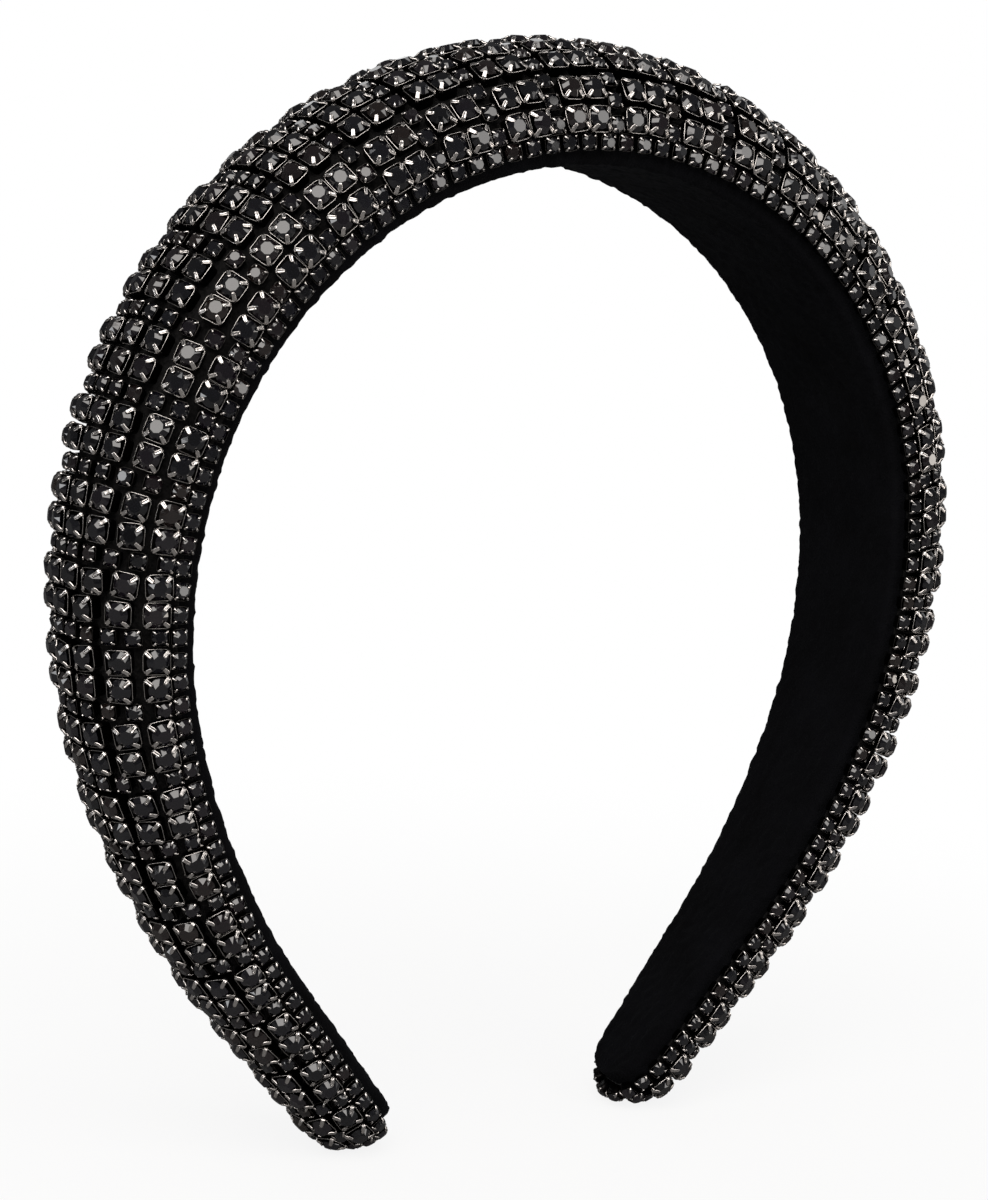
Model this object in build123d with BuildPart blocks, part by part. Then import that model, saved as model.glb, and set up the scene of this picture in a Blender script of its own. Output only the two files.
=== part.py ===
from build123d import *
import math
import os

# Padded headband with a soft lining inside and set stones all over its outside.
# X runs from arm to arm, Y across the band, +Z up as worn.
# The origin is on the lining at the middle of the crown, where the band sits on the head.

# ---- Arch of the lining's inner face, from the crown's middle down each arm ----
crown_radius = 62.3
crown_sweep = 85.0
shoulder_radius = 75.0
shoulder_sweep = 25.4
lower_radius = 120.0
lower_sweep = 17.8
arm_length = 190.0

# ---- Width and height of the band ----
lining_width_crown = 28.7
lining_width_tip = 10.8
width_taper_power = 1.85
stone_overhang = 3.2
dome_height_crown = 16.7
dome_height_tip = 11.4
height_taper_power = 1.9
dome_fullness = 2.2

# ---- Layers, counted outwards from the inner face ----
lining_thickness = 0.9
core_thickness = 1.5
cover_thickness = 0.5
stone_stack = 2.5
layer_gap = 0.12
pad_gap = 0.15
velvet_tip_length = 4.5
velvet_tip_overhang = 3.0
cover_tip_length = 7.3
cover_tip_overhang = 3.3
cover_tip_fold = 3.0

# ---- Spacing of the cross-sections that the layers are made through ----
station_step = 11.0
velvet_cap_angles = (28, 50, 66, 78)
inner_cap_angles = (28, 50, 68)
outer_cap_angles = (45, 58, 70, 80)
cut_past = 1.5

# ---- Stones and their cups ----
large_cup_width = 3.6
large_cup_height = 1.6
large_cup_corner = 0.6
large_stone_radius = 1.5
small_cup_width = 2.6
small_cup_height = 1.2
small_stone_radius = 1.08
small_stone_rise = 0.49
cup_wall_clearance = 0.12
cup_floor = 0.35
cup_gap = 0.12
girdle_height = 0.12
table_share = 0.6
stone_point_share = 0.2

# ---- Layout of the stones ----
large_row_gap = 0.23
small_row_gap = 0.18
row_level = 7.4
tip_row_past_arm = 2.04
large_column_gap = 0.8
small_column_gap = 0.65
groove_share = 1.2
edge_chain_gap = 0.7
edge_chain_lift = 0.05
edge_row_gap = 0.17
small_edge_gap = 0.3
turned_cup_room = 1.12

# ---- Flex of the arms ----
flex_row = 6
flex_open_angle = 10.0
flex_angle_spare = 1.0
flex_gap = 0.4
flex_overlap = 4.0
flex_edge_spare = 0.5

arch_arcs = (
    (crown_radius, crown_sweep),
    (shoulder_radius, shoulder_sweep),
    (lower_radius, lower_sweep),
)
# A curve with these handles passes where the domed surface's formula does at 45 degrees.
dome_roundness = (8 * 0.5 ** (1 / dome_fullness) - 4) / 3
core_bottom = lining_thickness + layer_gap
core_top = core_bottom + core_thickness
lining_rim = core_top
cover_bottom = lining_rim + layer_gap
hinge_level = (core_bottom + core_top) / 2
foam_bottom = core_top + pad_gap
across_band = Vector(0, 1, 0)


def arch_frame(distance, level=0.0):
    """Point, heading, curvature and inner length, at a distance measured at a level."""
    side = -1 if distance < 0 else 1
    left = abs(distance)
    angle = 0.0
    x, z = 0.0, 0.0
    inner_length = 0.0
    for radius, sweep in arch_arcs:
        run = (radius + level) * math.radians(sweep)
        step = min(left, run) / (radius + level)
        centre_x = x - radius * math.sin(angle)
        centre_z = z - radius * math.cos(angle)
        angle += step
        x = centre_x + radius * math.sin(angle)
        z = centre_z + radius * math.cos(angle)
        inner_length += radius * step
        if left <= run:
            return Vector(side * x, 0, z), side * angle, 1 / radius, side * inner_length
        left -= run
    x += left * math.cos(angle)
    z -= left * math.sin(angle)
    return Vector(side * x, 0, z), side * angle, 0.0, side * (inner_length + left)


def heading(angle):
    return Vector(math.cos(angle), 0, -math.sin(angle))


def outward(angle):
    return Vector(math.sin(angle), 0, math.cos(angle))


def section_plane(distance):
    """Plane across the band: its x is across, its y is outwards."""
    point, angle, _, _ = arch_frame(distance)
    return Plane(origin=point, x_dir=across_band, z_dir=heading(angle))


def taper(distance, at_crown, at_tip, power):
    share = min(abs(distance) / arm_length, 1.0)
    return at_crown + (at_tip - at_crown) * share**power


def lining_half(distance):
    return taper(distance, lining_width_crown, lining_width_tip, width_taper_power) / 2


def tip_scale(distance, length, overhang):
    """Share of the full section left at a distance, where the tip rounds off."""
    start = arm_length + overhang - length
    share = (abs(distance) - start) / length
    return math.sqrt(max(1 - max(share, 0.0) ** 2, 0.0))


def dome_size(distance, inset, tip_inset):
    """Half width and height above the cover's edge, inside the stones' tops by the inset."""
    half = lining_half(distance) + stone_overhang - inset
    top = taper(distance, dome_height_crown, dome_height_tip, height_taper_power) - inset
    scale = tip_scale(distance, cover_tip_length - tip_inset, cover_tip_overhang - tip_inset)
    return half * scale, (top - cover_bottom) * scale


def cover_size(distance):
    return dome_size(distance, stone_stack, 0.0)


def dome_outline(half, height, base=cover_bottom):
    """Domed line from the near edge over to the far edge."""
    shoulder = dome_roundness * half
    rise = base + dome_roundness * height
    top = base + height
    for side in (-half, half):
        handle = math.copysign(shoulder, side)
        Bezier((side, base), (side, rise), (handle, top), (0, top))


def dome_section(distance, half, height, base=cover_bottom):
    """Solid domed cross-section on a flat base."""
    with BuildSketch(section_plane(distance)) as section:
        with BuildLine() as outline:
            dome_outline(half, height, base)
            Line((-half, base), (half, base))
        make_face(outline.edges())
    return section.sketch


def shell_section(distance, outer, inner):
    """Domed shell's cross-section, open below."""
    with BuildSketch(section_plane(distance)) as section:
        with BuildLine() as outline:
            dome_outline(*outer)
            dome_outline(*inner)
            for side in (-1, 1):
                Line((side * outer[0], cover_bottom), (side * inner[0], cover_bottom))
        make_face(outline.edges())
    return section.sketch


def flat_section(distance, half, bottom, top):
    """Rectangular cross-section between two levels."""
    with BuildSketch(section_plane(distance)) as section:
        with Locations((0, (bottom + top) / 2)):
            Rectangle(2 * half, top - bottom)
    return section.sketch


# ---- Rows of stones: one small, two large, and so on, with a small row at each tip ----
arch_angle = sum(math.radians(sweep) for _, sweep in arch_arcs)
tip_row_distance = arm_length + tip_row_past_arm + row_level * arch_angle
least_large_pitch = large_cup_width + large_row_gap
least_small_pitch = (large_cup_width + small_cup_width) / 2 + small_row_gap
least_period = least_large_pitch + 2 * least_small_pitch
row_count = math.floor(tip_row_distance / least_period)
row_period = tip_row_distance / row_count
large_row_pitch = least_large_pitch * row_period / least_period
small_row_pitch = least_small_pitch * row_period / least_period


# ---- Where each segment starts and ends ----
flex_point, flex_angle, _, flex_distance = arch_frame(flex_row * row_period, row_level)
hinge_point = flex_point + outward(flex_angle) * hinge_level
pad_tilt = (flex_open_angle + flex_angle_spare) / 2


def stations(start, end):
    """Distances of the cross-sections, evenly spaced."""
    count = math.ceil((end - start) / station_step)
    return [start + (end - start) * index / count for index in range(count + 1)]


def cap_stations(start, length, angles):
    """Distances of the cross-sections where a tip rounds off, closer towards its end."""
    return [start + length * math.sin(math.radians(angle)) for angle in angles]


segments = {
    "crown": (-flex_distance - flex_overlap, flex_distance + flex_overlap),
    "right_arm": (flex_distance - flex_overlap, arm_length),
}


def flex_face(side, tilt, before):
    """Plane on one side of the flex gap, leaning back from it by the tilt."""
    angle = side * flex_angle
    along = heading(angle) * side
    lean = math.radians(tilt if before else -tilt)
    origin = Vector(side * hinge_point.X, 0, hinge_point.Z)
    origin += along * (flex_gap / 2 * (-1 if before else 1))
    facing = along * math.cos(lean) + outward(angle) * math.sin(lean)
    return Plane(origin=origin, x_dir=across_band, z_dir=facing)


def trim_segment(segment, tilt):
    """Cuts the active part at the flex gap."""
    if segment == "crown":
        split(bisect_by=flex_face(1, tilt, True), keep=Keep.BOTTOM)
        split(bisect_by=flex_face(-1, tilt, True), keep=Keep.BOTTOM)
    else:
        split(bisect_by=flex_face(1, tilt, False), keep=Keep.TOP)


pieces = {}


def keep_piece(segment, name, part):
    """Stores a segment's piece, and the right arm's mirror image on the left."""
    pieces[f"{segment}_{name}"] = part
    if segment == "right_arm":
        pieces[f"left_arm_{name}"] = mirror(part, about=Plane.YZ)


def lining_outside(place):
    scale = tip_scale(place, velvet_tip_length, velvet_tip_overhang)
    return flat_section(place, lining_half(place) * scale, 0, lining_rim)


def lining_trough(place):
    return flat_section(place, lining_half(place) - lining_thickness, lining_thickness, lining_rim + 1)


def strip_section(place):
    return flat_section(place, lining_half(place) - lining_thickness - layer_gap, core_bottom, core_top)


def foam_section(place):
    inset = stone_stack + cover_thickness + layer_gap
    half, height = dome_size(place, inset, cover_tip_fold + layer_gap)
    return dome_section(place, half, height - (foam_bottom - cover_bottom), foam_bottom)


def cover_section(place):
    inner = dome_size(place, stone_stack + cover_thickness, cover_tip_fold)
    return shell_section(place, cover_size(place), inner)


def cover_tip_section(place):
    return dome_section(place, *cover_size(place))


cap_start = arm_length + cover_tip_overhang - cover_tip_length
velvet_start = arm_length + velvet_tip_overhang - velvet_tip_length
hollow_cap = cover_tip_length - cover_tip_fold
hollow_end = cap_stations(cap_start, hollow_cap, inner_cap_angles)[-1]

for segment, (start, end) in segments.items():
    is_arm = segment != "crown"
    # The lining is a shallow trough with a closed, rounded tip.
    outside = stations(start, velvet_start if is_arm else end)
    if is_arm:
        outside += cap_stations(velvet_start, velvet_tip_length, velvet_cap_angles)
    trough = stations(start - cut_past, end if is_arm else end + cut_past)
    with BuildPart() as lining:
        loft(sections=[lining_outside(place) for place in outside])
        loft(sections=[lining_trough(place) for place in trough], mode=Mode.SUBTRACT)
        trim_segment(segment, 0)
    keep_piece(segment, "lining", lining.part)

    # The spring strip fills the trough.
    strip_end = end - 2 * layer_gap if is_arm else end
    with BuildPart() as strip:
        loft(sections=[strip_section(place) for place in stations(start, strip_end)])
        trim_segment(segment, 0)
    keep_piece(segment, "spring_strip", strip.part)

    # The foam pad sits on the strip, under the cover.
    padded = stations(start, cap_start if is_arm else end)
    if is_arm:
        padded += cap_stations(cap_start, hollow_cap - layer_gap, inner_cap_angles)
    with BuildPart() as foam:
        loft(sections=[foam_section(place) for place in padded])
        trim_segment(segment, pad_tilt)
    keep_piece(segment, "foam_pad", foam.part)

    # The cover is a shell over the foam, closed and folded in at the tip.
    covered = stations(start, cap_start if is_arm else end)
    if is_arm:
        covered += cap_stations(cap_start, hollow_cap, inner_cap_angles)
        folded = [hollow_end] + cap_stations(cap_start, cover_tip_length, outer_cap_angles)
    with BuildPart() as cover:
        loft(sections=[cover_section(place) for place in covered])
        if is_arm:
            loft(sections=[cover_tip_section(place) for place in folded])
        trim_segment(segment, pad_tilt)
    keep_piece(segment, "cover", cover.part)


# ---- Stones and cups, each made once at the origin ----
with BuildPart() as large_cup:
    with BuildSketch():
        RectangleRounded(large_cup_width, large_cup_width, large_cup_corner)
    extrude(amount=large_cup_height)
    with BuildSketch(Plane.XY.offset(cup_floor)):
        Circle(large_stone_radius + cup_wall_clearance)
    extrude(amount=large_cup_height, mode=Mode.SUBTRACT)

with BuildPart() as small_cup:
    with BuildSketch():
        Rectangle(small_cup_width, small_cup_width)
    extrude(amount=small_cup_height)
    with BuildSketch(Plane.XY.offset(cup_floor)):
        Circle(small_stone_radius + cup_wall_clearance)
    extrude(amount=small_cup_height, mode=Mode.SUBTRACT)


def stone_profile(radius, girdle_bottom, top):
    """Half outline of a stone: point below, girdle, sloping crown and flat table."""
    seat = cup_floor + cup_wall_clearance
    girdle_top = girdle_bottom + girdle_height
    with BuildSketch(Plane.XZ) as profile:
        with BuildLine():
            Polyline(
                (0, seat),
                (radius * stone_point_share, seat),
                (radius, girdle_bottom),
                (radius, girdle_top),
                (radius * table_share, top),
                (0, top),
                close=True,
            )
        make_face()
    return profile.sketch


large_girdle = large_cup_height - girdle_height
large_top = stone_stack - cup_gap
with BuildPart() as large_stone:
    revolve(stone_profile(large_stone_radius, large_girdle, large_top), axis=Axis.Z)

small_girdle = small_cup_height - girdle_height
small_top = small_cup_height + small_stone_rise
with BuildPart() as small_stone:
    revolve(stone_profile(small_stone_radius, small_girdle, small_top), axis=Axis.Z)


def cover_level(distance, across, level):
    """Is 1 on the cover's outer face, less inside it and more outside it."""
    half, height = cover_size(distance)
    side_share = (abs(across) / half) ** dome_fullness
    return side_share + (max(level - cover_bottom, 0.0) / height) ** dome_fullness


def seat_plane(distance, across, level):
    """Plane of a cup's base, just clear of the cover, with its x along the band."""
    point, angle, curvature, _ = arch_frame(distance)
    small_step = 0.01
    stretch = 1 + level * curvature
    here = (distance, across, level)
    slopes = []
    for index in range(3):
        ahead = list(here)
        behind = list(here)
        ahead[index] += small_step
        behind[index] -= small_step
        slopes.append((cover_level(*ahead) - cover_level(*behind)) / (2 * small_step))
    along, out = heading(angle), outward(angle)
    facing = along * (slopes[0] / stretch) + across_band * slopes[1] + out * slopes[2]
    facing = facing.normalized()
    origin = point + across_band * across + out * level + facing * cup_gap
    x_dir = along - facing * along.dot(facing)
    return Plane(origin=origin, x_dir=x_dir, z_dir=facing)


def section_curve(distance, steps=240):
    """Points round the cover's section, each with its length from the near edge."""
    half, height = cover_size(distance)
    curve = []
    length = 0.0
    for index in range(steps + 1):
        angle = math.pi * (index / steps - 0.5)
        across = math.copysign(abs(math.sin(angle)) ** (2 / dome_fullness), math.sin(angle)) * half
        level = cover_bottom + max(math.cos(angle), 0.0) ** (2 / dome_fullness) * height
        if curve:
            length += math.hypot(across - curve[-1][1], level - curve[-1][2])
        curve.append((length, across, level))
    return curve


def point_at(curve, length):
    """Point of a section curve at a length from the near edge."""
    for before, after in zip(curve, curve[1:]):
        if after[0] >= length:
            share = (length - before[0]) / (after[0] - before[0])
            return tuple(a + (b - a) * share for a, b in zip(before[1:], after[1:]))
    return curve[-1][1:]


edge_chain_level = lining_rim + edge_chain_lift + small_cup_width / 2
edge_chain_place = edge_chain_level - cover_bottom
first_large = edge_chain_place + (small_cup_width + large_cup_width) / 2 + edge_row_gap
first_small = edge_chain_place + small_cup_width + small_edge_gap


def large_columns(total):
    """Lengths from the near edge of the large stones of a row, in pairs between grooves."""
    span = total - 2 * first_large
    count = max(round(span / (large_cup_width + large_column_gap)), 1)
    steps = [groove_share if min(step, count - 1 - step) % 2 else 1.0 for step in range(count)]
    if span / sum(steps) < large_cup_width + cup_gap:
        steps = [1.0] * count
    pitch = span / sum(steps)
    return [first_large + pitch * sum(steps[:column]) for column in range(count + 1)]


def small_columns(total):
    """Lengths from the near edge of the small stones of a row, evenly spaced."""
    span = total - 2 * first_small
    count = max(round(span / (small_cup_width + small_column_gap)), 1)
    return [first_small + span * column / count for column in range(count + 1)]


def segment_of(distance):
    if abs(distance) < flex_distance:
        return "crown"
    return "right_arm" if distance > 0 else "left_arm"


def row_seats(columns, row_distance):
    """Seats of one row across the band, given its place at the row level."""
    distance = arch_frame(row_distance, row_level)[3]
    curve = section_curve(distance)
    return [seat_plane(distance, *point_at(curve, c)) for c in columns(curve[-1][0])], distance


def edge_seats():
    """Seats of the chain along both edges of the right half and round its tip."""
    scan_step = 0.02
    level_share = edge_chain_level - cover_bottom
    places = []
    distance = 0.0
    while cover_size(distance)[1] > level_share + 0.001:
        half, height = cover_size(distance)
        side = 1 - (level_share / height) ** dome_fullness
        places.append((distance, half * side ** (1 / dome_fullness)))
        distance += scan_step
    places += [(place, -across) for place, across in reversed(places)]
    path = []
    length = 0.0
    for place, across in places:
        point, angle, _, _ = arch_frame(place)
        here = point + across_band * across + outward(angle) * edge_chain_level
        if path:
            length += (here - before).length
        before = here
        path.append((length, place, across))
    count = round(length / (small_cup_width + edge_chain_gap))
    pitch = length / count
    chain = []
    for before, after in zip(path, path[1:]):
        if after[0] >= pitch * (len(chain) + 0.5):
            chain.append((after[1], seat_plane(after[1], after[2], edge_chain_level)))
    return chain


def mirrored(seat):
    """The seat's mirror image on the other arm."""
    origin = Vector(-seat.origin.X, seat.origin.Y, seat.origin.Z)
    x_dir = Vector(seat.x_dir.X, -seat.x_dir.Y, -seat.x_dir.Z)
    z_dir = Vector(-seat.z_dir.X, seat.z_dir.Y, seat.z_dir.Z)
    return Plane(origin=origin, x_dir=x_dir, z_dir=z_dir)


placed = []
seats = {}


def place_seat(kind, distance, seat, width):
    """Takes a seat, and its mirror image off the middle, unless a neighbour has it."""
    room = turned_cup_room if kind != "edge" and distance > cap_start else 1.0
    for other, other_width in placed:
        needed = ((width + other_width) / 2 + cup_gap) * room
        if (other.origin - seat.origin).length < needed:
            return
    placed.append((seat, width))
    seats.setdefault((segment_of(distance), kind), []).append(seat)
    if distance > 0:
        seats.setdefault((segment_of(-distance), kind), []).append(mirrored(seat))


edge_room = flex_gap / 2 + small_cup_width / 2 + flex_edge_spare
for distance, seat in edge_seats():
    if abs(distance - flex_distance) > edge_room:
        place_seat("edge", distance, seat, small_cup_width)

for row in range(row_count):
    row_distance = row * row_period
    if row != flex_row:
        small_seats, distance = row_seats(small_columns, row_distance)
        for seat in small_seats:
            place_seat("small", distance, seat, small_cup_width)
    for offset in (small_row_pitch, small_row_pitch + large_row_pitch):
        large_seats, distance = row_seats(large_columns, row_distance + offset)
        for seat in large_seats:
            place_seat("large", distance, seat, large_cup_width)

tip_seats, distance = row_seats(small_columns, tip_row_distance)
for seat in tip_seats:
    place_seat("small", distance, seat, small_cup_width)

fittings = {
    "large": (large_cup.part.solid(), large_stone.part.solid()),
    "small": (small_cup.part.solid(), small_stone.part.solid()),
    "edge": (small_cup.part.solid(), small_stone.part.solid()),
}
for (segment, kind), group in seats.items():
    cup, stone = fittings[kind]
    pieces[f"{segment}_{kind}_cups"] = Compound([cup.moved(seat.location) for seat in group])
    pieces[f"{segment}_{kind}_stones"] = Compound([stone.moved(seat.location) for seat in group])
    print(segment, kind, len(group))

os.makedirs("parts", exist_ok=True)
for name, piece in pieces.items():
    piece.label = name
    export_step(piece, f"parts/{name}.step", write_pcurves=False)

print("hinge", hinge_point.X, hinge_point.Z, "angle", math.degrees(flex_angle))
print("flex distance", flex_distance)
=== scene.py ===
import math

import bpy
import numpy as np
from mathutils import Matrix, Vector, noise


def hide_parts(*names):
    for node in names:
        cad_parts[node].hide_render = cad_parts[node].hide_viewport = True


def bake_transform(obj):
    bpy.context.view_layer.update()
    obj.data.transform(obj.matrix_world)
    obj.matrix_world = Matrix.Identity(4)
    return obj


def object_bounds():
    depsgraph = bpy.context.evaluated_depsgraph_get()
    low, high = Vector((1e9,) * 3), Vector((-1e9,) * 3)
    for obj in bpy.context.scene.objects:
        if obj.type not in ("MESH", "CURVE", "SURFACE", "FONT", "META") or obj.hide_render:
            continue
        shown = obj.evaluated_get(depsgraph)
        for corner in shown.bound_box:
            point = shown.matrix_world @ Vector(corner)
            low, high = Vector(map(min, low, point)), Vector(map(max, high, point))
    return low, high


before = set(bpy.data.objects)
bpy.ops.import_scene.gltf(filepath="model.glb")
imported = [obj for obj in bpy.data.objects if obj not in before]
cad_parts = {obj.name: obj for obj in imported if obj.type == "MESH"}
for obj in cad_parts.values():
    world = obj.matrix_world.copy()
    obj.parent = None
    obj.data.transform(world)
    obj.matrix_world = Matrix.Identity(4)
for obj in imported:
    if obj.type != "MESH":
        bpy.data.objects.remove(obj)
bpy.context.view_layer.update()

# Shapes are worked out in millimetres, as (distance along the arm, across, level above the lining),
# and turn into metres as each mesh is made. A half runs from the crown's middle to one tip.
MM = 0.001

# ---- Arch of the lining's inner face: radius and sweep of each arc, from the crown down ----
ARCH = ((62.3, 85.0), (75.0, 25.4), (120.0, 17.8))
ARM_LENGTH = 190.0

# ---- Sizes at the crown and at the tip, and the power of the taper between them ----
LINING_WIDTH = (28.7, 10.8, 1.85)
DOME_HEIGHT = (17.9, 11.4, 1.4)

# ---- Dome of cover and stones ----
STONE_OVERHANG = 2.9
STONE_STACK = 2.5
DOME_FULLNESS = 2.2
COVER_BOTTOM = 2.64
COVER_THICKNESS = 0.5
PAD_GAP = 0.15

# ---- Rounded ends: length of the rounding, and how far it goes past the arm ----
COVER_TIP = (8.2, 3.8)
VELVET_TIP = (4.5, 3.0)

# ---- Velvet: height of its turned-up edge, radius of its fold, thickness and pile ----
VELVET_RIM = 2.9
VELVET_FOLD = 0.9
VELVET_THICKNESS = 0.7
VELVET_PILE = 0.33

# ---- Stones: widths of the cups, and the room between them ----
SEAT_LARGE = 3.6
SEAT_SMALL = 2.6
CUP_GAP = 0.12
CUP_MIDDLE = 1.5
LARGE_ROW_GAP = 0.23
SMALL_ROW_GAP = 0.18
ROW_LEVEL = 7.4
TIP_ROW_PAST_ARM = 2.04
FLEX_ROW = 6
CENTRE_ROW = 0.1

# ---- Columns: gaps aimed at, at shares of the arm, and a groove's share at crown and tip ----
GAP_SHARES = (0.0, 0.35, 0.75, 1.0)
LARGE_COLUMN_GAP = (1.25, 1.5, 1.5, 0.8)
SMALL_COLUMN_GAP = (1.05, 1.2, 1.2, 0.8)
GROOVE_SHARE = (1.22, 1.0)

# ---- Chain along the edges, and the first columns beside it ----
EDGE_GAP = 0.62
EDGE_LEVEL = 3.1
EDGE_TO_LARGE = 0.2
EDGE_TO_SMALL = 0.05
FIRST_LARGE = EDGE_LEVEL - COVER_BOTTOM + (SEAT_LARGE + SEAT_SMALL) / 2 + EDGE_TO_LARGE
FIRST_SMALL = EDGE_LEVEL - COVER_BOTTOM + SEAT_SMALL + EDGE_TO_SMALL

# ---- Shares of their full spacing at which neighbouring cups still have room ----
ROW_ROOM = 0.84
TIP_ROOM = 0.78
CHAIN_ROOM = 0.6
TIP_LEVELS = (5.4, 6.4, 7.4)

ACROSS = np.array([0.0, 1.0, 0.0])
MIRROR = np.array([-1, 1, 1])
random = np.random.default_rng(11)


# ---------------------------------------------------------------- band surface

def arch_frame(distance, level=0.0):
    """Point, heading angle, curvature and inner length, at a distance measured at a level."""
    side = -1 if distance < 0 else 1
    left = abs(distance)
    angle, x, z, inner = 0.0, 0.0, 0.0, 0.0
    for radius, sweep in ARCH:
        run = (radius + level) * math.radians(sweep)
        step = min(left, run) / (radius + level)
        centre_x = x - radius * math.sin(angle)
        centre_z = z - radius * math.cos(angle)
        angle += step
        x = centre_x + radius * math.sin(angle)
        z = centre_z + radius * math.cos(angle)
        inner += radius * step
        if left <= run:
            return np.array([side * x, 0, z]), side * angle, 1 / radius, side * inner
        left -= run
    x += left * math.cos(angle)
    z -= left * math.sin(angle)
    return np.array([side * x, 0, z]), side * angle, 0.0, side * (inner + left)


def heading(angle):
    return np.array([math.cos(angle), 0, -math.sin(angle)])


def outward(angle):
    return np.array([math.sin(angle), 0, math.cos(angle)])


def band_point(distance, across, level):
    point, angle, _, _ = arch_frame(distance)
    return point + ACROSS * across + outward(angle) * level


def taper(distance, values):
    at_crown, at_tip, power = values
    share = min(abs(distance) / ARM_LENGTH, 1.0)
    return at_crown + (at_tip - at_crown) * share**power


def tip_scale(distance, length, overhang):
    """Share of the full section left at a distance, where the tip rounds off."""
    start = ARM_LENGTH + overhang - length
    share = (abs(distance) - start) / length
    return math.sqrt(max(1 - max(share, 0.0) ** 2, 0.0))


def cover_size(distance):
    """Half width of the cover, and its height above its edge."""
    scale = tip_scale(distance, *COVER_TIP)
    half = taper(distance, LINING_WIDTH) / 2 + STONE_OVERHANG - STONE_STACK
    top = taper(distance, DOME_HEIGHT) - STONE_STACK
    return half * scale, (top - COVER_BOTTOM) * scale


def dome_point(angle, half, height):
    """Place across and level on a domed section, from -90 to 90 degrees."""
    rise = max(math.cos(angle), 0.0) ** (2 / DOME_FULLNESS)
    reach = abs(math.sin(angle)) ** (2 / DOME_FULLNESS)
    return math.copysign(reach, math.sin(angle)) * half, COVER_BOTTOM + rise * height


def cover_level(distance, across, level):
    """Is 1 on the cover's outer face, less inside it and more outside it."""
    half, height = cover_size(distance)
    rise = max(level - COVER_BOTTOM, 0.0) / height
    return (abs(across) / half) ** DOME_FULLNESS + rise**DOME_FULLNESS


# ---------------------------------------------------------------- stone layout

def seat_at(distance, across, level):
    """Origin and axes of a cup's base, just clear of the cover, with its x along the band."""
    point, angle, curvature, _ = arch_frame(distance)
    step = 0.01
    stretch = 1 + level * curvature
    slopes = []
    for index in range(3):
        ahead, behind = [distance, across, level], [distance, across, level]
        ahead[index] += step
        behind[index] -= step
        slopes.append((cover_level(*ahead) - cover_level(*behind)) / (2 * step))
    along, out = heading(angle), outward(angle)
    facing = along * (slopes[0] / stretch) + ACROSS * slopes[1] + out * slopes[2]
    facing /= np.linalg.norm(facing)
    origin = point + ACROSS * across + out * level + facing * CUP_GAP
    x_axis = along - facing * along.dot(facing)
    x_axis /= np.linalg.norm(x_axis)
    return origin, np.column_stack([x_axis, np.cross(facing, x_axis), facing])


def running_lengths(points):
    steps = np.linalg.norm(np.diff(points, axis=0), axis=1)
    return np.concatenate([[0], np.cumsum(steps)])


def section_curve(distance, steps=240):
    """Lengths from the near edge round the cover's section, at the cups' middle, and its points."""
    half, height = cover_size(distance)
    angles = [math.pi * (index / steps - 0.5) for index in range(steps + 1)]
    points = np.array([dome_point(angle, half, height) for angle in angles])
    tangent = np.gradient(points, axis=0)
    tangent /= np.linalg.norm(tangent, axis=1)[:, None]
    raised = points + np.column_stack([-tangent[:, 1], tangent[:, 0]]) * CUP_MIDDLE
    return running_lengths(raised), points


def large_columns(total, share):
    """Lengths from the near edge of the large stones of a row, in pairs between grooves."""
    span = total - 2 * FIRST_LARGE
    gap = np.interp(share, GAP_SHARES, LARGE_COLUMN_GAP)
    groove = GROOVE_SHARE[0] + (GROOVE_SHARE[1] - GROOVE_SHARE[0]) * share
    count = max(round(span / (SEAT_LARGE + gap)), 1)
    steps = [groove if min(step, count - 1 - step) % 2 else 1.0 for step in range(count)]
    if span / sum(steps) < SEAT_LARGE + CUP_GAP:
        steps = [1.0] * count
    pitch = span / sum(steps)
    return [FIRST_LARGE + pitch * sum(steps[:column]) for column in range(count + 1)]


def small_columns(total, share):
    """Lengths from the near edge of the small stones of a row, evenly spaced."""
    span = total - 2 * FIRST_SMALL
    gap = np.interp(share, GAP_SHARES, SMALL_COLUMN_GAP)
    count = max(round(span / (SEAT_SMALL + gap)), 1)
    return [FIRST_SMALL + span * column / count for column in range(count + 1)]


def row_seats(columns, row_distance):
    """Seats of one row across the band, given its distance at the row level."""
    distance = arch_frame(row_distance, ROW_LEVEL)[3]
    lengths, points = section_curve(distance)
    seats = []
    for length in columns(lengths[-1], distance / ARM_LENGTH):
        across = np.interp(length, lengths, points[:, 0])
        level = np.interp(length, lengths, points[:, 1])
        seats.append(seat_at(distance, across, level))
    return seats


def chain_places(level, start=0.0):
    """Fine steps at a level: out along one edge of a half, and back along the other."""
    step, distance, places = 0.05, start, []
    above = level - COVER_BOTTOM
    while cover_size(distance)[1] > above + 0.001:
        half, height = cover_size(distance)
        side = 1 - (above / height) ** DOME_FULLNESS
        places.append((distance, half * side ** (1 / DOME_FULLNESS)))
        distance += step
    return places + [(place, -across) for place, across in reversed(places)]


def edge_seats():
    """Seats of the chain along both edges of a half and round its tip.

    Their spacing is even at the middle of the cups' height, so the chain closes up at the tip.
    """
    seats = [seat_at(place, across, EDGE_LEVEL) for place, across in chain_places(EDGE_LEVEL)]
    middles = np.array([origin + axes[:, 2] * CUP_MIDDLE for origin, axes in seats])
    lengths = running_lengths(middles)
    count = round(lengths[-1] / (SEAT_SMALL + EDGE_GAP))
    chosen = np.searchsorted(lengths, (np.arange(count) + 0.5) * lengths[-1] / count)
    return [seats[index] for index in chosen]


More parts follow.
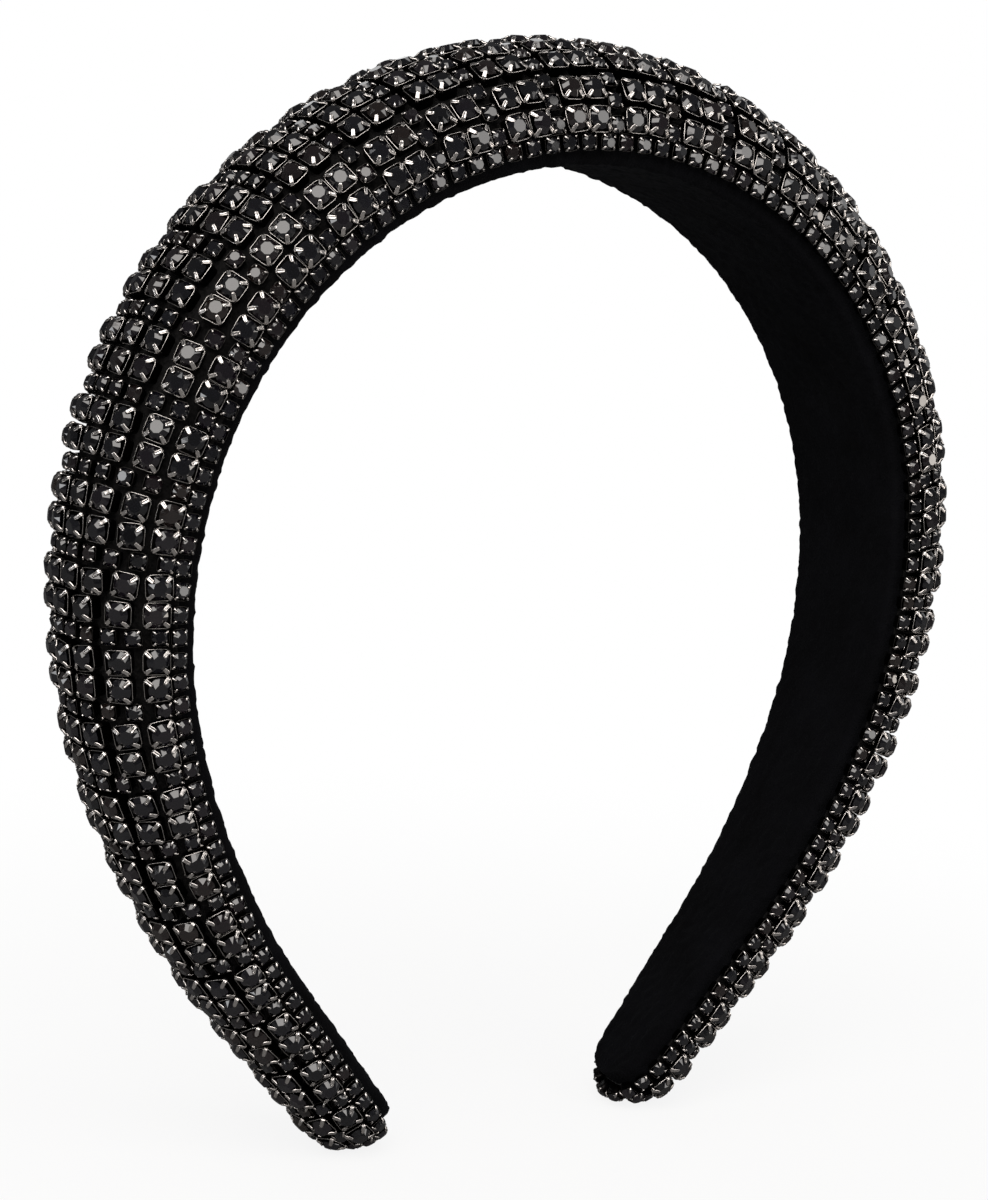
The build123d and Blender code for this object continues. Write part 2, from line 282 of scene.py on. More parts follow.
def tip_seats():
    """Places for single small stones over the rounded tip, from its middle outwards."""
    start = ARM_LENGTH + COVER_TIP[1] - COVER_TIP[0]
    seats = []
    for level in TIP_LEVELS:
        places = sorted(chain_places(level, start)[::4], key=lambda place: abs(place[1]))
        seats += [seat_at(place, across, level) for place, across in places]
    return seats


placed = []


def take(seats, width, room=ROW_ROOM):
    """The seats that are free of every cup placed before; they count as placed from then on."""
    free = []
    for seat in seats:
        middle = seat[0] + seat[1][:, 2] * CUP_MIDDLE
        clear = all(
            np.linalg.norm(other - middle) >= ((width + other_width) / 2 + CUP_GAP) * room
            for other, other_width in placed
        )
        if clear:
            placed.append((middle, width))
            free.append(seat)
    return free


# A period is a small row and the two large rows after it. The rows stretch a little, so that the
# last one ends at the tip.
least_large = SEAT_LARGE + LARGE_ROW_GAP
least_small = (SEAT_LARGE + SEAT_SMALL) / 2 + SMALL_ROW_GAP
least_period = least_large + 2 * least_small
whole_sweep = sum(math.radians(sweep) for _, sweep in ARCH)
tip_row = ARM_LENGTH + TIP_ROW_PAST_ARM + ROW_LEVEL * whole_sweep
row_count = math.floor(tip_row / least_period)
period = tip_row / row_count
row_stretch = period / least_period

layout = {"edge": take(edge_seats(), SEAT_SMALL, CHAIN_ROOM), "small": [], "large": []}
for row in range(row_count):
    start = row * period
    first = start + least_small * row_stretch
    second = start + (least_small + least_large) * row_stretch
    room = TIP_ROOM if row == row_count - 1 else ROW_ROOM
    layout["small"] += take(row_seats(small_columns, start), SEAT_SMALL)
    layout["large"] += take(row_seats(large_columns, first), SEAT_LARGE)
    layout["large"] += take(row_seats(large_columns, second), SEAT_LARGE, room)
layout["small"] += take(row_seats(small_columns, tip_row), SEAT_SMALL, TIP_ROOM)
layout["small"] += take(tip_seats(), SEAT_SMALL, TIP_ROOM)


# ---------------------------------------------------------------- mesh helpers

def sheet_faces(rows, columns):
    """Faces of a thick sheet from its front points, then its back points, row by row.

    It is closed along both edges and at the last row, and open at the first, where halves meet.
    """
    back = rows * columns
    starts = [i * columns + j for i in range(rows - 1) for j in range(columns - 1)]
    faces = [(a, a + 1, a + columns + 1, a + columns) for a in starts]
    faces += [tuple(back + corner for corner in reversed(quad)) for quad in faces]
    for i in range(rows - 1):
        for j in (0, columns - 1):
            a, b = i * columns + j, (i + 1) * columns + j
            quad = (a, b, back + b, back + a)
            faces.append(quad if j == 0 else quad[::-1])
    for a in range((rows - 1) * columns, rows * columns - 1):
        faces.append((a, a + 1, back + a + 1, back + a))
    return faces


def tube_faces(first, rings, count):
    """Side faces and the two caps of a tube of rings with so many points each."""
    sides = []
    for ring in range(rings - 1):
        low = first + ring * count
        for j in range(count):
            k = (j + 1) % count
            sides.append((low + j, low + k, low + count + k, low + count + j))
    last = first + count * (rings - 1)
    return sides, [tuple(reversed(range(first, first + count))), tuple(range(last, last + count))]


def half_places(tip, count, tip_angles):
    """Distances of a half's sections: even down to the rounded tip, then by angle round it."""
    length, overhang = tip
    start = ARM_LENGTH + overhang - length
    places = list(np.linspace(0, start, count))
    return places + [start + length * math.sin(math.radians(a)) for a in np.linspace(*tip_angles)]


# ---------------------------------------------------------------- cup and stone shapes

CORNER_POINTS = 3
STONE_SIDES = 8
GIRDLE_BAND = 0.09
STONE_BACK = 0.6

# A cup's floor as (inset, level, shine), and its wall and rolled rim as (inset, depth under the
# rim's top, share of the rim's shine). Shine is a painted highlight, brightest on the rim's top.
CUP_FLOOR = (-0.4, -0.35, 0)
CUP_WALL = [
    (-0.2, 0.45, 0), (-0.1, 0.16, 0), (0.0, 0.08, 1), (-0.06, 0.0, 1), (-0.14, 0.07, 0.2),
    (-0.2, 0.4, 0),
]

# Claw sections as (across, up, shine). A large claw is hollow, with a ridge along each edge, and
# a small one is a plain bead. Shine paints a highlight on each claw's top, brightest on the ridges.
HOLLOW_CLAW = [
    (-1, -1.0, 0.0), (-0.92, 0.5, 0.9), (-0.66, 1.0, 1.0), (-0.3, 0.45, 0.8), (0.3, 0.45, 0.8),
    (0.66, 1.0, 1.0), (0.92, 0.5, 0.9), (1, -1.0, 0.0),
]
BEAD_CLAW = [(-1, -1.0, 0.1), (-0.8, 0.5, 1.0), (0, 1.0, 1.0), (0.8, 0.5, 1.0), (1, -1.0, 0.1)]

# Claw lines in a corner's plane, as (radius, level, share of the breadth).
LARGE_SPINE = [
    (2.14, 1.1, 0.9), (2.27, 1.7, 1.0), (2.2, 2.0, 1.0), (1.98, 2.16, 1.0), (1.66, 2.24, 1.0),
    (1.36, 2.44, 0.92), (1.16, 2.55, 0.6),
]
SMALL_SPINE = [
    (1.42, 0.8, 0.9), (1.5, 1.3, 1.0), (1.4, 1.56, 1.0), (1.14, 1.68, 0.95), (0.92, 1.84, 0.6),
]
# Share of the painted highlight at a claw's root, where it leaves the cup's wall.
FIRST_CLAW_SHINE = 0.1


def square_ring(half, corner, level):
    """Points of a rounded square at a level; half is (along, across)."""
    ring = []
    for quarter in range(4):
        middle = math.radians(45 + 90 * quarter)
        centre = np.array([
            math.copysign(half[0] - corner, math.cos(middle)),
            math.copysign(half[1] - corner, math.sin(middle)),
        ])
        for index in range(CORNER_POINTS):
            angle = math.radians(90 * quarter + 90 * index / (CORNER_POINTS - 1))
            ring.append((*(centre + corner * np.array([math.cos(angle), math.sin(angle)])), level))
    return ring


def claw_points(angle, breadth, thick, section, spine):
    """Points and painted-highlight shines of a claw that bends over the stone from the corner at an
    angle.
    """
    out = np.array([math.cos(angle), math.sin(angle), 0])
    side = np.array([-math.sin(angle), math.cos(angle), 0])
    up = np.array([0, 0, 1])
    points, shine = [], []
    for index, (radius, level, share) in enumerate(spine):
        before, after = spine[max(index - 1, 0)], spine[min(index + 1, len(spine) - 1)]
        run = out * (after[0] - before[0]) + up * (after[1] - before[1])
        run /= np.linalg.norm(run)
        lift = np.cross(run, side)
        lift *= -1 if lift @ (out * 0.3 + up) < 0 else 1
        middle = out * radius + up * level
        for across, rise, value in section:
            point = middle + side * across * breadth * share + lift * rise * thick
            points.append(tuple(point))
            shine.append(value if index else FIRST_CLAW_SHINE)
    return points, shine


def cup_shape(half, height, corner, rim_shine, breadth, thick, section, spine):
    """Square setting: floor, flared wall with a thin rolled rim, and four bent claws.

    Half is (along, across). Shine is 1 where a highlight is painted into the plating's colour.
    """
    rings = [CUP_FLOOR]
    rings += [(inset, height - depth, share * rim_shine) for inset, depth, share in CUP_WALL]
    points, shine = [], []
    for inset, level, value in rings:
        ring = square_ring((half[0] + inset, half[1] + inset), corner + inset, level)
        points += ring
        shine += [value] * len(ring)
    sides, caps = tube_faces(0, len(rings), len(ring))
    faces = sides + caps
    smooth = [True] * len(sides) + [False] * len(caps)
    corner_angle = math.atan2(half[1], half[0])
    wide = len(section)
    for angle in (corner_angle, math.pi - corner_angle, math.pi + corner_angle, -corner_angle):
        sides, caps = tube_faces(len(points), len(spine), wide)
        more_points, more_shine = claw_points(angle, breadth, thick, section, spine)
        points += more_points
        shine += more_shine
        faces += sides + caps
        smooth += [j % wide != wide - 1 for j in range(len(sides))] + [False] * len(caps)
    return np.array(points), faces, smooth, shine


def stone_shape(radius, girdle, top, table):
    """Round faceted stone: flat table, a ring of kite facets, girdle and a pointed back."""
    step = 2 * math.pi / STONE_SIDES
    girdle_count = 2 * STONE_SIDES
    points = []
    for index in range(STONE_SIDES):
        points.append((table * math.cos(index * step), table * math.sin(index * step), top))
    for level in (girdle + GIRDLE_BAND, girdle):
        for index in range(girdle_count):
            angle = index * step / 2
            points.append((radius * math.cos(angle), radius * math.sin(angle), level))
    points.append((0, 0, girdle - radius * STONE_BACK))
    back = len(points) - 1
    faces = [tuple(range(STONE_SIDES))]
    for index in range(STONE_SIDES):
        following = (index + 1) % STONE_SIDES
        a, b, c = (STONE_SIDES + (2 * index + j) % girdle_count for j in range(3))
        faces += [(index, a, b), (index, b, following), (following, b, c)]
    for index in range(girdle_count):
        a, b = STONE_SIDES + index, STONE_SIDES + (index + 1) % girdle_count
        c, d = a + girdle_count, b + girdle_count
        faces += [(a, c, d, b), (c, back, d)]
    return np.array(points), faces, [False] * len(faces)


LARGE_FITTING = (
    cup_shape(
        half=(1.86, 1.97), height=1.84, corner=0.85, rim_shine=0.72, breadth=0.31, thick=0.13,
        section=HOLLOW_CLAW, spine=LARGE_SPINE,
    ),
    stone_shape(radius=1.66, girdle=1.88, top=2.7, table=0.95),
)
SMALL_FITTING = (
    cup_shape(
        half=(1.3, 1.3), height=1.36, corner=0.7, rim_shine=0.25, breadth=0.19, thick=0.1,
        section=BEAD_CLAW, spine=SMALL_SPINE,
    ),
    stone_shape(radius=1.16, girdle=1.38, top=1.98, table=0.7),
)
FITTINGS = {"large": LARGE_FITTING, "small": SMALL_FITTING, "edge": SMALL_FITTING}


# ---------------------------------------------------------------- materials

def link(tree, source, target):
    tree.links.new(source, target)


def set_inputs(node, values):
    for socket, value in values.items():
        node.inputs[socket].default_value = value


def new_material(name, values=None):
    """Material, its nodes and its shader, with plain values on the shader's own sockets."""
    material = bpy.data.materials.new(name)
    material.use_nodes = True
    tree = material.node_tree
    shader = tree.nodes["Principled BSDF"]
    set_inputs(shader, values or {})
    return material, tree, shader


def noise_node(tree, scale, detail=4.0, roughness=0.6):
    coordinates = tree.nodes.new("ShaderNodeTexCoord")
    texture = tree.nodes.new("ShaderNodeTexNoise")
    set_inputs(texture, {"Scale": scale, "Detail": detail, "Roughness": roughness})
    link(tree, coordinates.outputs["Object"], texture.inputs["Vector"])
    return texture.outputs["Fac"]


def ramp(tree, source, target, stops):
    """Colours, or grey levels, that a source sets on a target socket."""
    node = tree.nodes.new("ShaderNodeValToRGB")
    elements = node.color_ramp.elements
    while len(elements) < len(stops):
        elements.new(0.5)
    for element, (position, colour) in zip(elements, stops):
        element.position = position
        element.color = (*colour, 1)
    link(tree, source, node.inputs["Fac"])
    link(tree, node.outputs["Color"], target)


def bump(tree, shader, source, strength, depth):
    node = tree.nodes.new("ShaderNodeBump")
    set_inputs(node, {"Strength": strength, "Distance": depth})
    link(tree, source, node.inputs["Height"])
    link(tree, node.outputs["Normal"], shader.inputs["Normal"])


def velvet_material():
    """Near-black pile with a cool sheen, a little lighter where the nap turns."""
    material, tree, shader = new_material("velvet", {
        "Roughness": 0.95, "Specular IOR Level": 0.1, "Sheen Weight": 0.015,
        "Sheen Roughness": 0.35, "Sheen Tint": (0.5, 0.6, 0.8, 1),
    })
    pile, nap = noise_node(tree, 2600, 3), noise_node(tree, 90, 3)
    ramp(tree, nap, shader.inputs["Base Color"], [
        (0.3, (0.0009, 0.0009, 0.0014)), (0.7, (0.0022, 0.0023, 0.0034)),
    ])
    bump(tree, shader, pile, 0.8, 0.0003)
    return material


def cover_material():
    """Black cloth with a fine weave."""
    material, tree, shader = new_material(
        "cover_cloth", {"Roughness": 0.9, "Specular IOR Level": 0.15}
    )
    weave = noise_node(tree, 1800, 3)
    ramp(tree, weave, shader.inputs["Base Color"], [
        (0.35, (0.002, 0.002, 0.002)), (0.75, (0.012, 0.011, 0.011)),
    ])
    bump(tree, shader, weave, 0.6, 0.0002)
    return material


def attribute_value(tree, name):
    node = tree.nodes.new("ShaderNodeAttribute")
    node.attribute_name = name
    return node.outputs["Fac"]


def metal_material():
    """Black plating, with highlights painted along the rims and claws as a brighter base colour."""
    material, tree, shader = new_material("cup_metal", {"Metallic": 1.0})
    # Grain noise plus the shine attribute. High shine is a painted highlight: a brighter, smoother
    # metal colour on rims and claws.
    grain_and_painted_shine = tree.nodes.new("ShaderNodeMath")
    grain_and_painted_shine.operation = "MULTIPLY_ADD"
    grain_share = 0.5
    link(tree, noise_node(tree, 500, 5, 0.75), grain_and_painted_shine.inputs[0])
    grain_and_painted_shine.inputs[1].default_value = grain_share
    link(tree, attribute_value(tree, "shine"), grain_and_painted_shine.inputs[2])
    ramp(tree, grain_and_painted_shine.outputs["Value"], shader.inputs["Base Color"], [
        (0.3, (0.012, 0.011, 0.011)), (0.65, (0.09, 0.084, 0.079)), (1.0, (0.8, 0.76, 0.73)),
    ])
    ramp(tree, grain_and_painted_shine.outputs["Value"], shader.inputs["Roughness"], [
        (0.3, (0.42,) * 3), (1.0, (0.22,) * 3),
    ])
    return material


def stone_material():
    """Dark glass whose foiled back gives each stone its own faint blue or brown."""
    material, tree, shader = new_material("dark_stone", {"IOR": 1.8})
    ramp(tree, attribute_value(tree, "tone"), shader.inputs["Base Color"], [
        (0.0, (0.002, 0.002, 0.003)), (0.5, (0.004, 0.004, 0.006)),
        (0.8, (0.006, 0.004, 0.006)), (1.0, (0.009, 0.006, 0.005)),
    ])
    ramp(tree, noise_node(tree, 700, 2), shader.inputs["Roughness"], [
        (0.3, (0.03,) * 3), (0.7, (0.08,) * 3),
    ])
    return material


def plastic_material():
    """Moulded black plastic with a fine spark-eroded texture."""
    material, tree, shader = new_material("strip_plastic")
    grain = noise_node(tree, 1200, 4)
    ramp(tree, grain, shader.inputs["Base Color"], [
        (0.3, (0.014, 0.014, 0.015)), (0.7, (0.024, 0.024, 0.025)),
    ])
    ramp(tree, grain, shader.inputs["Roughness"], [(0.3, (0.4,) * 3), (0.7, (0.55,) * 3)])
    bump(tree, shader, grain, 0.3, 0.0001)
    return material


def foam_material():
    """Dark open-cell foam, with shade painted into its pores."""
    material, tree, shader = new_material("foam", {"Roughness": 0.95, "Specular IOR Level": 0.1})
    coordinates = tree.nodes.new("ShaderNodeTexCoord")
    pores = tree.nodes.new("ShaderNodeTexVoronoi")
    set_inputs(pores, {"Scale": 1600})
    link(tree, coordinates.outputs["Object"], pores.inputs["Vector"])
    # The pores' pits are painted darker than the cell walls: painted shade in the recesses.
    ramp(tree, pores.outputs["Distance"], shader.inputs["Base Color"], [
        (0.1, (0.02, 0.02, 0.021)), (0.6, (0.07, 0.07, 0.072)),
    ])
    bump(tree, shader, pores.outputs["Distance"], 0.8, 0.0004)
    return material


MATERIALS = {
    "velvet": velvet_material(),
    "cover_cloth": cover_material(),
    "cup_metal": metal_material(),
    "dark_stone": stone_material(),
    "strip_plastic": plastic_material(),
    "foam": foam_material(),
}


# ---------------------------------------------------------------- pieces

flex_distance = arch_frame(FLEX_ROW * period, ROW_LEVEL)[3]
flex_angle = arch_frame(flex_distance)[1]


def bend_with(piece):
    """The piece's transform is baked into its mesh."""
    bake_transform(piece)


def settle_piece(piece, arm, names):
    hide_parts(*[f"{segment}_{name}" for name in names for segment in ("crown", arm)])
    bend_with(piece)


def make_half(arm, name, points, faces, slot, smooth=None, values=None):
    """Piece of one half. Shapes are worked out for the right arm, and mirrored for the left.

    Values holds named attributes, with one number for each point.
    """
    points = np.asarray(points)
    if arm == "left_arm":
        points = points * MIRROR
        faces = [face[::-1] for face in faces]
    name = f"{arm[:-4]}_{name}"
    mesh = bpy.data.meshes.new(name)
    mesh.from_pydata((points * MM).tolist(), [], faces)
    mesh.polygons.foreach_set("use_smooth", smooth or [True] * len(faces))
    for key, numbers in (values or {}).items():
        attribute = mesh.attributes.new(key, "FLOAT", "POINT")
        attribute.data.foreach_set("value", np.asarray(numbers, dtype=np.float32))
    mesh.materials.append(MATERIALS[slot])
    mesh.update()
    piece = bpy.data.objects.new(name, mesh)
    bpy.context.scene.collection.objects.link(piece)
    return piece


# ---- Velvet ----
VELVET_STEP = 0.6
VELVET_TIP_ANGLES = (6, 88, 18)
VELVET_RIM_POINTS = 6
VELVET_FOLD_POINTS = 7
VELVET_FLOOR_POINTS = 40
# The pile's unevenness, as (waves in a millimetre, depth).
PILE_WAVES = ((0.8, 0.26), (2.7, 0.12))
# Where the tip closes, the velvet is no thicker than this share of the half width.
VELVET_TIP_SHARE = 0.6


def velvet_half(arm):
    """Velvet on the inner face, folded up over the edges and rounded at the tip."""
    tip_length, overhang = VELVET_TIP
    count = round((ARM_LENGTH + overhang - tip_length) / VELVET_STEP)
    places = half_places(VELVET_TIP, count, VELVET_TIP_ANGLES)
    # An edge is a list of (share of the fold gone inwards, level), from the rim down.
    edge = [(0.0, level) for level in np.linspace(VELVET_RIM, VELVET_FOLD, VELVET_RIM_POINTS)]
    for angle in np.linspace(0, math.pi / 2, VELVET_FOLD_POINTS)[1:]:
        edge.append((1 - math.cos(angle), VELVET_FOLD * (1 - math.sin(angle))))
    points, backs = [], []
    for place in places:
        half = taper(place, LINING_WIDTH) / 2 * tip_scale(place, *VELVET_TIP)
        inset = min(VELVET_FOLD, half)
        thick = min(VELVET_THICKNESS, half * VELVET_TIP_SHARE)
        outline = [(-half + share * inset, level) for share, level in edge]
        flat = np.linspace(-half + inset, half - inset, VELVET_FLOOR_POINTS)[1:-1]
        outline += [(across, 0.0) for across in flat]
        outline += [(half - share * inset, level) for share, level in reversed(edge)]
        tangent = np.gradient(np.array(outline), axis=0)
        tangent /= np.linalg.norm(tangent, axis=1)[:, None] + 1e-9
        for (across, level), (run, rise) in zip(outline, tangent):
            here = Vector(band_point(place, across, level))
            waves = [noise.noise(here * scale) * depth for scale, depth in PILE_WAVES]
            pile = VELVET_PILE + sum(waves)
            points.append(band_point(place, across + rise * pile, level - run * pile))
            backs.append(band_point(place, across - rise * thick, level + run * thick))
    faces = sheet_faces(len(places), len(outline))
    piece = make_half(arm, "velvet_lining", points + backs, faces, "velvet")
    settle_piece(piece, arm, ["lining"])


# ---- Cover ----
COVER_SECTIONS = 150
COVER_TIP_ANGLES = (6, 88, 16)
COVER_POINTS = 49
# Where the tip closes, the inner face keeps at least this share of the section.
COVER_TIP_SHARE = 0.7


def cover_half(arm):
    """Cover cloth over the foam, closed round the tip."""
    places = half_places(COVER_TIP, COVER_SECTIONS, COVER_TIP_ANGLES)
    angles = np.linspace(-math.pi / 2, math.pi / 2, COVER_POINTS)
    outer, inner = [], []
    for place in places:
        size = cover_size(place)
        inner_size = [max(value - COVER_THICKNESS, value * COVER_TIP_SHARE) for value in size]
        for angle in angles:
            outer.append(band_point(place, *dome_point(angle, *size)))
            inner.append(band_point(place, *dome_point(angle, *inner_size)))
    faces = [face[::-1] for face in sheet_faces(len(places), len(angles))]
    piece = make_half(arm, "cover", outer + inner, faces, "cover_cloth")
    settle_piece(piece, arm, ["cover"])


# ---- Foam ----
FOAM_SECTIONS = 80
FOAM_TIP_ANGLES = (10, 65, 8)
FOAM_POINTS = 25
FOAM_FLOOR_POINTS = 9
# The foam's unevenness: waves in a millimetre, and share of its size.
CRUMPLE_SCALE = 0.3
CRUMPLE_SHARE = 0.01


def foam_half(arm):
    """Domed padding under the cover, flat where it lies on the strip."""
    inset = COVER_THICKNESS + PAD_GAP
    places = half_places(COVER_TIP, FOAM_SECTIONS, FOAM_TIP_ANGLES)
    angles = np.linspace(-math.pi / 2, math.pi / 2, FOAM_POINTS)
    points = []
    for place in places:
        half, height = (value - inset for value in cover_size(place))
        ring = [dome_point(angle, half, height) for angle in angles]
        floor_line = np.linspace(half, -half, FOAM_FLOOR_POINTS)[1:-1]
        ring += [(across, COVER_BOTTOM) for across in floor_line]
        for across, level in ring:
            wave = noise.noise(Vector((place * CRUMPLE_SCALE, across * CRUMPLE_SCALE, 0)))
            share = 1 + CRUMPLE_SHARE * wave
            raised = COVER_BOTTOM + (level - COVER_BOTTOM) * share
            points.append(band_point(place, across * share, raised))
    sides, caps = tube_faces(0, len(places), len(ring))
    faces = [(a, d, c, b) for a, b, c, d in sides] + [cap[::-1] for cap in caps]
    piece = make_half(arm, "foam_pad", points, faces, "foam")
    settle_piece(piece, arm, ["foam_pad"])


# ---- Cups and stones ----
# Hand-set cups lean and turn a little, and each stone sits a little askew in its cup. The three
# numbers are spreads in degrees about the cup's or the stone's own Z, X and Y.
CUP_LEAN = (3.0, 2.0, 2.0)
STONE_SPIN = (20.0, 4.2, 4.2)
jitters = {}
for kind, seats in layout.items():
    jitters[kind] = {}
    for arm in ("right_arm", "left_arm"):
        leans = random.normal(0, 1, (len(seats), 3)) * CUP_LEAN
        spins = random.normal(0, 1, (len(seats), 3)) * STONE_SPIN
        jitters[kind][arm] = list(zip(leans, spins, random.random(len(seats))))


def tilted(axes, degrees):
    """Axes turned about their own Z, then X, then Y."""
    for axis, angle in zip("ZXY", degrees):
        axes = axes @ np.array(Matrix.Rotation(math.radians(angle), 3, axis))
    return axes


def set_group(kind, arm):
    """Cups and stones of one kind on one half; the right half has the crown's middle row."""
    cup, stone = FITTINGS[kind]
    for shape, slot, plural in ((cup, "cup_metal", "cups"), (stone, "dark_stone", "stones")):
        points, faces, smooth, values = [], [], [], []
        for (origin, axes), (lean, spin, tone) in zip(layout[kind], jitters[kind][arm]):
            if arm == "left_arm" and abs(origin[0]) < CENTRE_ROW:
                continue
            local = tilted(axes, lean)
            if plural == "stones":
                local = tilted(local, spin)
            offset = len(points) * len(shape[0])
            points.append(shape[0] @ local.T + origin)
            faces += [tuple(offset + corner for corner in face) for face in shape[1]]
            smooth += shape[2]
            values += shape[3] if plural == "cups" else [tone] * len(shape[0])
        key = "shine" if plural == "cups" else "tone"
        name = f"{kind}_{plural}"
        piece = make_half(arm, name, np.concatenate(points), faces, slot, smooth, {key: values})
        settle_piece(piece, arm, [name])


for segment in ("crown", "left_arm", "right_arm"):
    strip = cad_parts[f"{segment}_spring_strip"]
    strip.data.materials.clear()
    strip.data.materials.append(MATERIALS["strip_plastic"])
for arm in ("right_arm", "left_arm"):
    velvet_half(arm)
    cover_half(arm)
    foam_half(arm)
    for kind in layout:
        set_group(kind, arm)


# ---------------------------------------------------------------- camera and lamps, in metres

CAMERA_PLACE = Vector((-0.2315, -0.3485, 0.0012))
CAMERA_AIM = Vector((-0.0034, 0.0038, -0.0674))
CAMERA_ROLL = 3.56
CAMERA_LENS = 82.8
CAMERA_SENSOR = 36
NEAR_CLIP = 0.01

camera_data = bpy.data.cameras.new("camera")
camera_data.lens = CAMERA_LENS
camera_data.sensor_width = CAMERA_SENSOR
camera_data.clip_start = NEAR_CLIP
camera = bpy.data.objects.new("camera", camera_data)
bpy.context.scene.collection.objects.link(camera)
camera.location = CAMERA_PLACE
look = (CAMERA_AIM - CAMERA_PLACE).to_track_quat("-Z", "Y").to_matrix()
roll = Matrix.Rotation(math.radians(CAMERA_ROLL), 3, "Z")
camera.rotation_euler = (look @ roll).to_euler()
bpy.context.scene.camera = camera

# Each lamp faces the band's middle: direction, distance, size, brightness of its face and colour.
MIDDLE = Vector((0, 0, -0.07))
LAMPS = {
    "key": ((-0.46, -0.5, 0.68), 1.05, (0.85, 0.85), 3.7, (1.0, 0.96, 0.925)),
    "front_fill": ((0.36, -0.73, 0.53), 1.0, (0.38, 0.38), 2.7, (1.0, 0.97, 0.94)),
    "low_fill": ((0.47, -0.83, 0.04), 1.0, (0.28, 0.26), 2.8, (1.0, 0.97, 0.94)),
    "left_strip": ((-0.95, 0.05, 0.2), 0.9, (0.08, 0.5), 4.0, (0.97, 0.98, 1.0)),
    "top_strip": ((0.15, -0.1, 1.0), 0.9, (0.5, 0.08), 2.0, (1.0, 1.0, 1.0)),
    "right_strip": ((0.9, -0.35, 0.1), 0.9, (0.1, 0.5), 4.5, (1.0, 0.92, 0.84)),
    "back": ((0.3, 0.8, 0.4), 1.0, (0.4, 0.4), 1.2, (1.0, 1.0, 1.0)),
}


def softbox(name, direction, reach, size, radiance, colour):
    """Rectangular lamp whose face is this bright; its power in watts follows from its size."""
    place = MIDDLE + Vector(direction).normalized() * reach
    data = bpy.data.lights.new(name, "AREA")
    data.shape = "RECTANGLE"
    data.size, data.size_y = size
    data.energy = radiance * math.pi * size[0] * size[1]
    data.color = colour
    lamp = bpy.data.objects.new(name, data)
    lamp.location = place
    lamp.rotation_euler = (MIDDLE - place).to_track_quat("-Z", "Y").to_euler()
    bpy.context.scene.collection.objects.link(lamp)


for name, lamp_values in LAMPS.items():
    softbox(name, *lamp_values)


# ---------------------------------------------------------------- backdrop and floor

# The studio's white backdrop stands behind the object, and the rest of the room is dim. The edge
# of the backdrop is where the direction's cosine to its middle goes from the first to the second.
BACKDROP_SIDE = (0.97, 0.12, -0.2)
BACKDROP_EDGE = (0.55, 0.9)
BACKDROP_GLOSS = 0.65
ROOM_LEVEL = 0.08
DIFFUSE_LEVEL = 0.3


def smooth_range(tree, source, values):
    node = tree.nodes.new("ShaderNodeMapRange")
    node.interpolation_type = "SMOOTHSTEP"
    set_inputs(node, values)
    link(tree, source, node.inputs["Value"])
    return node.outputs["Result"]


def choose(tree, when, chosen, otherwise):
    """Strength of the world: one value where the ray's kind matches, another elsewhere."""
    node = tree.nodes.new("ShaderNodeMix")
    link(tree, when, node.inputs["Factor"])
    for socket, value in (("A", otherwise), ("B", chosen)):
        if isinstance(value, float):
            node.inputs[socket].default_value = value
        else:
            link(tree, value, node.inputs[socket])
    return node.outputs["Result"]


def studio_world():
    """White to the camera, dim to other rays, with the backdrop shown to glossy ones."""
    world = bpy.data.worlds.new("world")
    bpy.context.scene.world = world
    world.use_nodes = True
    tree = world.node_tree
    background = tree.nodes["Background"]
    background.inputs["Color"].default_value = (1, 1, 1, 1)
    path = tree.nodes.new("ShaderNodeLightPath")
    coordinates = tree.nodes.new("ShaderNodeTexCoord")
    towards = tree.nodes.new("ShaderNodeVectorMath")
    towards.operation = "DOT_PRODUCT"
    towards.inputs[1].default_value = BACKDROP_SIDE
    link(tree, coordinates.outputs["Generated"], towards.inputs[0])
    room = smooth_range(tree, towards.outputs["Value"], {
        "From Min": BACKDROP_EDGE[0], "From Max": BACKDROP_EDGE[1],
        "To Min": ROOM_LEVEL, "To Max": BACKDROP_GLOSS,
    })
    level = choose(tree, path.outputs["Is Glossy Ray"], room, DIFFUSE_LEVEL)
    level = choose(tree, path.outputs["Is Transmission Ray"], 1.0, level)
    level = choose(tree, path.outputs["Is Camera Ray"], 1.0, level)
    link(tree, level, background.inputs["Strength"])


# The floor is white paper that keeps the shadow, and it meets the white backdrop unseen. Its
# shadow fades into white between two distances from its middle.
FLOOR_SIZE = 60.0
FLOOR_SHADOW = (0.05, 0.3)
FLOOR_WHITE = 0.8
FLOOR_COLOUR = 0.82
FLOOR_GLOSS = 0.17
# Numbers of the colour sockets of a Mix node, whose names aren't unique.
MIX_A, MIX_B, MIX_RESULT = 6, 7, 2


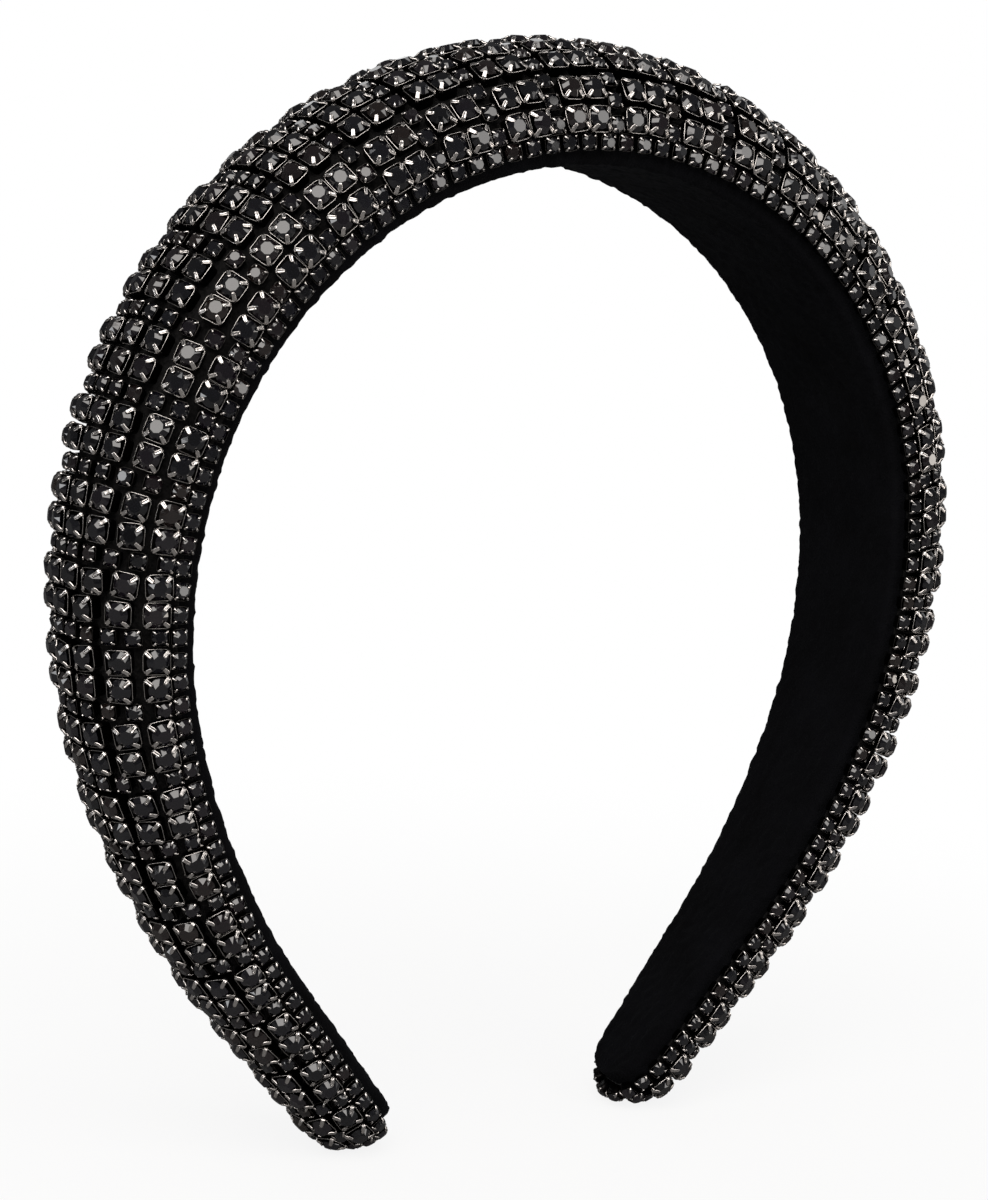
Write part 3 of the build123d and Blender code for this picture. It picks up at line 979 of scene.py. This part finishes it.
def paper_material():
    """Paper that glossy rays see darker, and that turns to plain white away from the object."""
    material, tree, shader = new_material("floor", {"Roughness": 0.9, "Specular IOR Level": 0.0})
    path = tree.nodes.new("ShaderNodeLightPath")
    paper = tree.nodes.new("ShaderNodeMix")
    paper.data_type = "RGBA"
    link(tree, path.outputs["Is Glossy Ray"], paper.inputs["Factor"])
    paper.inputs[MIX_A].default_value = (FLOOR_COLOUR, FLOOR_COLOUR, FLOOR_COLOUR, 1)
    paper.inputs[MIX_B].default_value = (FLOOR_GLOSS, FLOOR_GLOSS, FLOOR_GLOSS, 1)
    link(tree, paper.outputs[MIX_RESULT], shader.inputs["Base Color"])
    coordinates = tree.nodes.new("ShaderNodeTexCoord")
    distance = tree.nodes.new("ShaderNodeVectorMath")
    distance.operation = "LENGTH"
    link(tree, coordinates.outputs["Object"], distance.inputs[0])
    fade = smooth_range(tree, distance.outputs["Value"], {
        "From Min": FLOOR_SHADOW[0], "From Max": FLOOR_SHADOW[1], "To Min": FLOOR_WHITE,
    })
    seen = tree.nodes.new("ShaderNodeMath")
    seen.operation = "MULTIPLY"
    link(tree, fade, seen.inputs[0])
    link(tree, path.outputs["Is Camera Ray"], seen.inputs[1])
    white = tree.nodes.new("ShaderNodeEmission")
    mix = tree.nodes.new("ShaderNodeMixShader")
    link(tree, seen.outputs["Value"], mix.inputs["Fac"])
    link(tree, shader.outputs["BSDF"], mix.inputs[1])
    link(tree, white.outputs["Emission"], mix.inputs[2])
    link(tree, mix.outputs["Shader"], tree.nodes["Material Output"].inputs["Surface"])
    return material


studio_world()
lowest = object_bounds()[0].z
reach = FLOOR_SIZE / 2
corners = [(-reach, -reach), (reach, -reach), (reach, reach), (-reach, reach)]
floor_mesh = bpy.data.meshes.new("floor")
floor_mesh.from_pydata([(x, y, lowest) for x, y in corners], [], [(0, 1, 2, 3)])
floor_mesh.materials.append(paper_material())
floor = bpy.data.objects.new("floor", floor_mesh)
bpy.context.scene.collection.objects.link(floor)

bpy.context.scene.view_settings.view_transform = "Standard"
